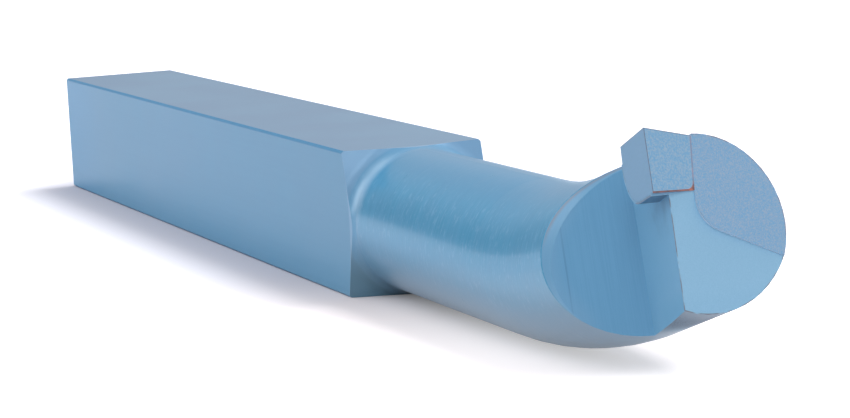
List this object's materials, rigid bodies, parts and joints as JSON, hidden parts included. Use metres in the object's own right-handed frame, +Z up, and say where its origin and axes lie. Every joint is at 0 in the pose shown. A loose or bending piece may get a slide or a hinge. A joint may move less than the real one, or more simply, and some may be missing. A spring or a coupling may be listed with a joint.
{
  "type": "brazed carbide boring tool",
  "caption": "Lathe boring tool: square steel shank, turned round neck bent sideways, and a notched head with a brazed carbide tip.",
  "frame": {"origin": "middle of the shank side that the tool lies on", "axes": "+X along the shank towards the head, +Z up, the way the head bends, chip face towards -Y"},
  "size_m": [0.2113, 0.016, 0.0239],
  "materials": {
    "shank": "thin blue lacquer over turned and milled steel",
    "carbide_tip": "fine ground, satin",
    "braze_joint": "copper-coloured braze"
  },
  "bodies": {
    "root": {"shank": "shank", "carbide_tip": "carbide_tip", "braze_joint": "braze_joint"}
  },
  "joints": []
}
